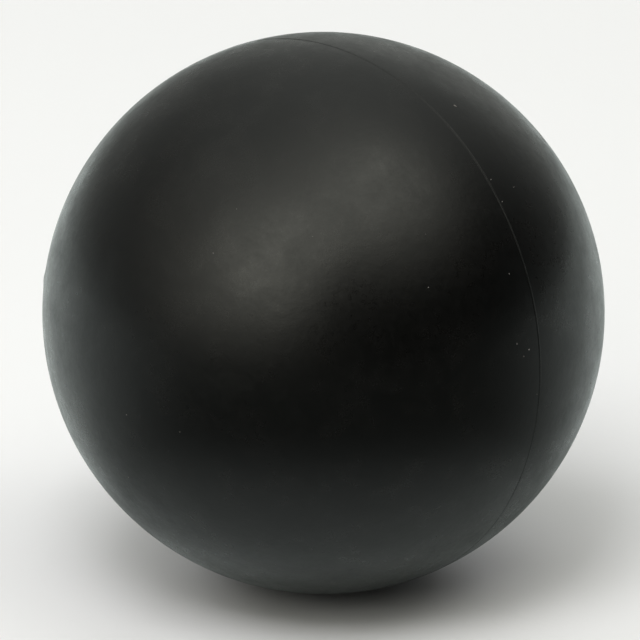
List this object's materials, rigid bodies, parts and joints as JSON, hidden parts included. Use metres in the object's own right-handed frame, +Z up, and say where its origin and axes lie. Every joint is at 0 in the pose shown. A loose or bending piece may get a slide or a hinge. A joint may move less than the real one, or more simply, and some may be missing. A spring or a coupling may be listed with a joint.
{
  "type": "case opening friction ball",
  "caption": "Hollow black rubber ball of two cemented halves with a needle valve, pressed and twisted by hand to unscrew watch case backs.",
  "frame": {"origin": "centre of the ball", "axes": "+Z up as the ball lies; +Y along the moulding and valve axis, out through the valve; the seam goes round in the XZ plane"},
  "size_m": [0.0652, 0.0647, 0.0652],
  "materials": {
    "shell_rubber": "matte, finely grained moulded rubber with a faint bloom",
    "seam_cement": "satin cured rubber cement",
    "valve_rubber": "smooth satin moulded rubber",
    "bond_cement": "satin cured rubber cement",
    "plug_rubber": "smooth, slightly glossy soft rubber"
  },
  "bodies": {
    "root": {"front_half_shell": "shell_rubber", "rear_half_shell": "shell_rubber", "seam_cement_ring": "seam_cement", "valve_housing": "valve_rubber", "valve_bond_film": "bond_cement", "valve_plug": "plug_rubber"}
  },
  "joints": []
}
